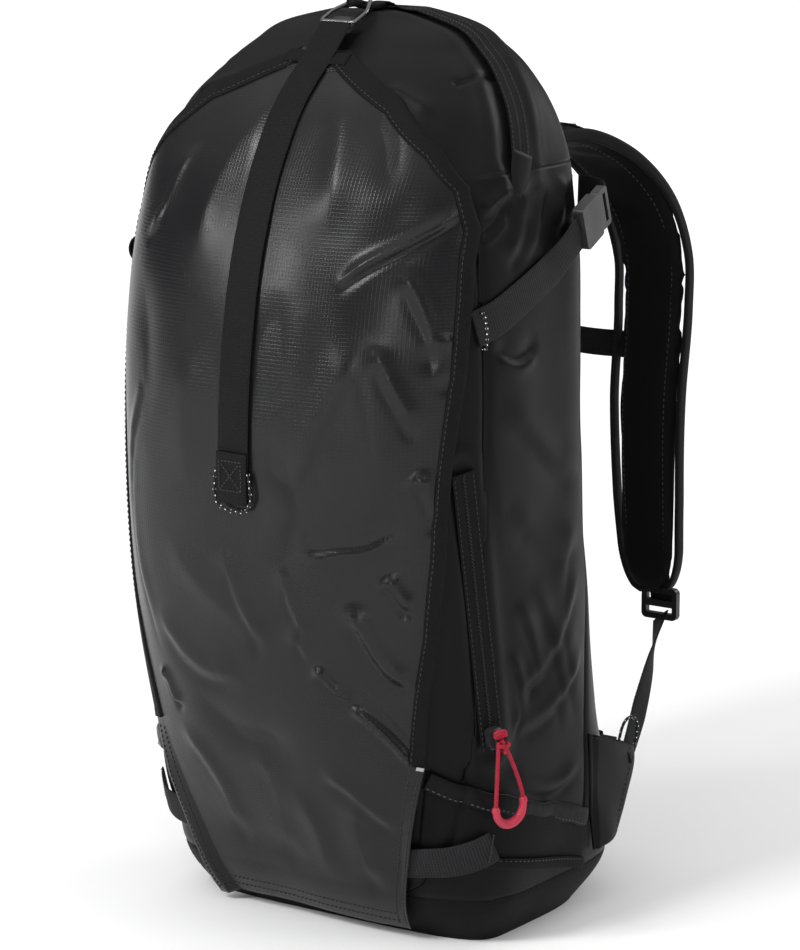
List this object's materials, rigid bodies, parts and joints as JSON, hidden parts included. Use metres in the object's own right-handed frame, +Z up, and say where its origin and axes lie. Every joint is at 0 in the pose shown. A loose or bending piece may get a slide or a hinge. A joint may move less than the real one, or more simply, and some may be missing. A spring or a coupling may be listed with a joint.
{
  "type": "avalanche airbag backpack",
  "caption": "Top-loading ski touring backpack with a hinged front flap, arched top zip, padded harness and a stowed avalanche airbag system.",
  "frame": {"origin": "middle of the flat base, on the floor the pack stands on", "axes": "+Z up, +Y towards the wearer's back and harness, +X the wearer's right"},
  "size_m": [0.3212, 0.4014, 0.6503],
  "materials": {
    "bag_fabric": "matte black nylon, plain weave",
    "flap_fabric": "coated dark grey ripstop, soft sheen",
    "binding_tape": "black grosgrain binding",
    "webbing": "woven black and grey webbing",
    "zip_tape": "coil zip on black tape",
    "zip_metal": "black painted zinc slider",
    "pull_red": "crimson cord and moulded grip",
    "buckle_plastic": "acetal buckle, fine texture",
    "hook_wire": "bent steel wire",
    "strap_fabric": "black padded harness fabric",
    "pad_mesh": "black spacer mesh over foam",
    "frame_plastic": "natural polyethylene sheet",
    "frame_alloy": "flat aluminium bar",
    "airbag_cloth": "coated orange nylon, folded",
    "cylinder_metal": "painted pressure cylinder",
    "head_metal": "anodised head",
    "pin_steel": "hardened steel",
    "cable_sheath": "black cable sheath",
    "trigger_plastic": "moulded orange-red grip"
  },
  "bodies": {
    "pack": {"bottom_panel": "bag_fabric", "front_panel": "bag_fabric", "rear_panel": "bag_fabric", "lid_panel": "bag_fabric", "side_panel_right": "bag_fabric", "side_panel_left": "bag_fabric", "side_pockets": "bag_fabric", "pocket_hems": "bag_fabric", "wing_tabs": "bag_fabric", "top_zip_tape_rear": "zip_tape", "top_zip_tape_lid": "zip_tape", "side_zip_tape": "zip_tape", "side_webbings": "webbing", "compression_straps": "webbing", "compression_tails": "webbing", "haul_loop": "webbing", "lower_webbing_right": "webbing", "lower_webbing_left": "webbing", "buckle_socket_right": "buckle_plastic", "buckle_socket_left": "buckle_plastic", "back_pads": "pad_mesh", "lumbar_pad": "pad_mesh", "frame_sheet": "frame_plastic", "frame_stay": "frame_alloy", "airbag": "airbag_cloth", "gas_cylinder": "cylinder_metal", "inflator_head": "head_metal", "gas_hose": "cable_sheath", "trigger_cable": "cable_sheath", "hip_roots": "bag_fabric"},
    "flap": {"front_flap": "flap_fabric", "flap_binding": "binding_tape", "front_strap": "webbing", "strap_tab": "webbing", "hook_plate": "buckle_plastic"},
    "hook": {"strap_hook": "hook_wire"},
    "top_slider": {"top_zip_slider": "zip_metal", "top_zip_tab": "zip_metal"},
    "side_slider": {"side_zip_slider": "zip_metal"},
    "red_pull": {"pull_cord": "pull_red", "pull_grip": "pull_red"},
    "compression_prong_right": {"buckle_prong_right": "buckle_plastic"},
    "compression_prong_left": {"buckle_prong_left": "buckle_plastic"},
    "shoulder_right": {"shoulder_strap_right": "strap_fabric", "ladder_lock_right": "buckle_plastic"},
    "shoulder_left": {"shoulder_strap_left": "strap_fabric", "ladder_lock_left": "buckle_plastic", "handle_sleeve": "strap_fabric"},
    "sternum_right": {"sternum_strap_right": "webbing"},
    "sternum_left": {"sternum_strap_left": "webbing", "sternum_socket": "buckle_plastic"},
    "sternum_clip": {"sternum_prong": "buckle_plastic"},
    "trigger": {"trigger_handle": "trigger_plastic"},
    "pin": {"firing_pin": "pin_steel"},
    "hip_right": {"hip_wing_right": "strap_fabric", "hip_webbing_right": "webbing", "hip_prong": "buckle_plastic"},
    "hip_left": {"hip_wing_left": "strap_fabric", "hip_webbing_left": "webbing", "hip_socket": "buckle_plastic"}
  },
  "joints": [
    {"name": "flap_open", "type": "hinge", "parent": "pack", "child": "flap", "pos_m": [0, -0.058, 0.008], "axis": [1, 0, 0], "range_deg": [0, 62], "deforming": ["haul_loop"]},
    {"name": "hook_tilt", "type": "hinge", "parent": "flap", "child": "hook", "pos_m": [0, -0.04, 0.6345], "axis": [1, 0, 0], "range_deg": [0, 110], "deforming": ["haul_loop"]},
    {"name": "top_zip_run", "type": "hinge", "parent": "pack", "child": "top_slider", "pos_m": [0, -0.035, 0.513], "axis": [0, 0.9135, -0.4067], "range_deg": [0, 140]},
    {"name": "side_zip_run", "type": "slide", "parent": "pack", "child": "side_slider", "axis": [-0.0151, -0.1665, 0.9859], "range_m": [0, 0.18]},
    {"name": "pull_swing", "type": "hinge", "parent": "side_slider", "child": "red_pull", "pos_m": [0.15312, -0.06474, 0.15836], "axis": [-0.3537, -0.9214, -0.161], "range_deg": [0, 150]},
    {"name": "compression_release_right", "type": "slide", "parent": "pack", "child": "compression_prong_right", "axis": [-0.0976, 0.9285, 0.3584], "range_m": [0, 0.022], "deforming": ["compression_tails"]},
    {"name": "compression_release_left", "type": "slide", "parent": "pack", "child": "compression_prong_left", "axis": [0.0976, 0.9285, 0.3584], "range_m": [0, 0.022], "deforming": ["compression_tails"]},
    {"name": "shoulder_swing_right", "type": "hinge", "parent": "pack", "child": "shoulder_right", "pos_m": [0.042, 0.082, 0.532], "axis": [1, 0, 0], "range_deg": [0, 25], "deforming": ["lower_webbing_right", "lower_webbing_left"]},
    {"name": "shoulder_swing_left", "type": "hinge", "parent": "pack", "child": "shoulder_left", "pos_m": [-0.042, 0.082, 0.532], "axis": [1, 0, 0], "range_deg": [0, 25], "deforming": ["lower_webbing_left", "lower_webbing_right"]},
    {"name": "sternum_slide_right", "type": "slide", "parent": "shoulder_right", "child": "sternum_right", "axis": [0, 0.1867, 0.9824], "range_m": [-0.02, 0.02]},
    {"name": "sternum_slide_left", "type": "slide", "parent": "shoulder_left", "child": "sternum_left", "axis": [0, 0.1867, 0.9824], "range_m": [-0.02, 0.02]},
    {"name": "sternum_release", "type": "slide", "parent": "sternum_right", "child": "sternum_clip", "axis": [1, 0, 0], "range_m": [0, 0.015], "deforming": ["sternum_strap_right"]},
    {"name": "trigger_pull", "type": "slide", "parent": "shoulder_left", "child": "trigger", "axis": [0, 0, 1], "range_m": [0, 0.06]},
    {"name": "pin_travel", "type": "slide", "parent": "pack", "child": "pin", "axis": [0, 0, -1], "range_m": [0, 0.006]},
    {"name": "hip_swing_right", "type": "hinge", "parent": "pack", "child": "hip_right", "pos_m": [0.1, 0.162, 0.075], "axis": [0, 0, -1], "range_deg": [0, 110]},
    {"name": "hip_swing_left", "type": "hinge", "parent": "pack", "child": "hip_left", "pos_m": [-0.1, 0.162, 0.075], "axis": [0, 0, 1], "range_deg": [0, 110]}
  ],
  "couplings": [
    {"joint": "shoulder_swing_left", "follows": "shoulder_swing_right", "ratio": 1},
    {"joint": "sternum_slide_left", "follows": "sternum_slide_right", "ratio": 1},
    {"joint": "pin_travel", "follows": "trigger_pull", "ratio": 0.1}
  ]
}
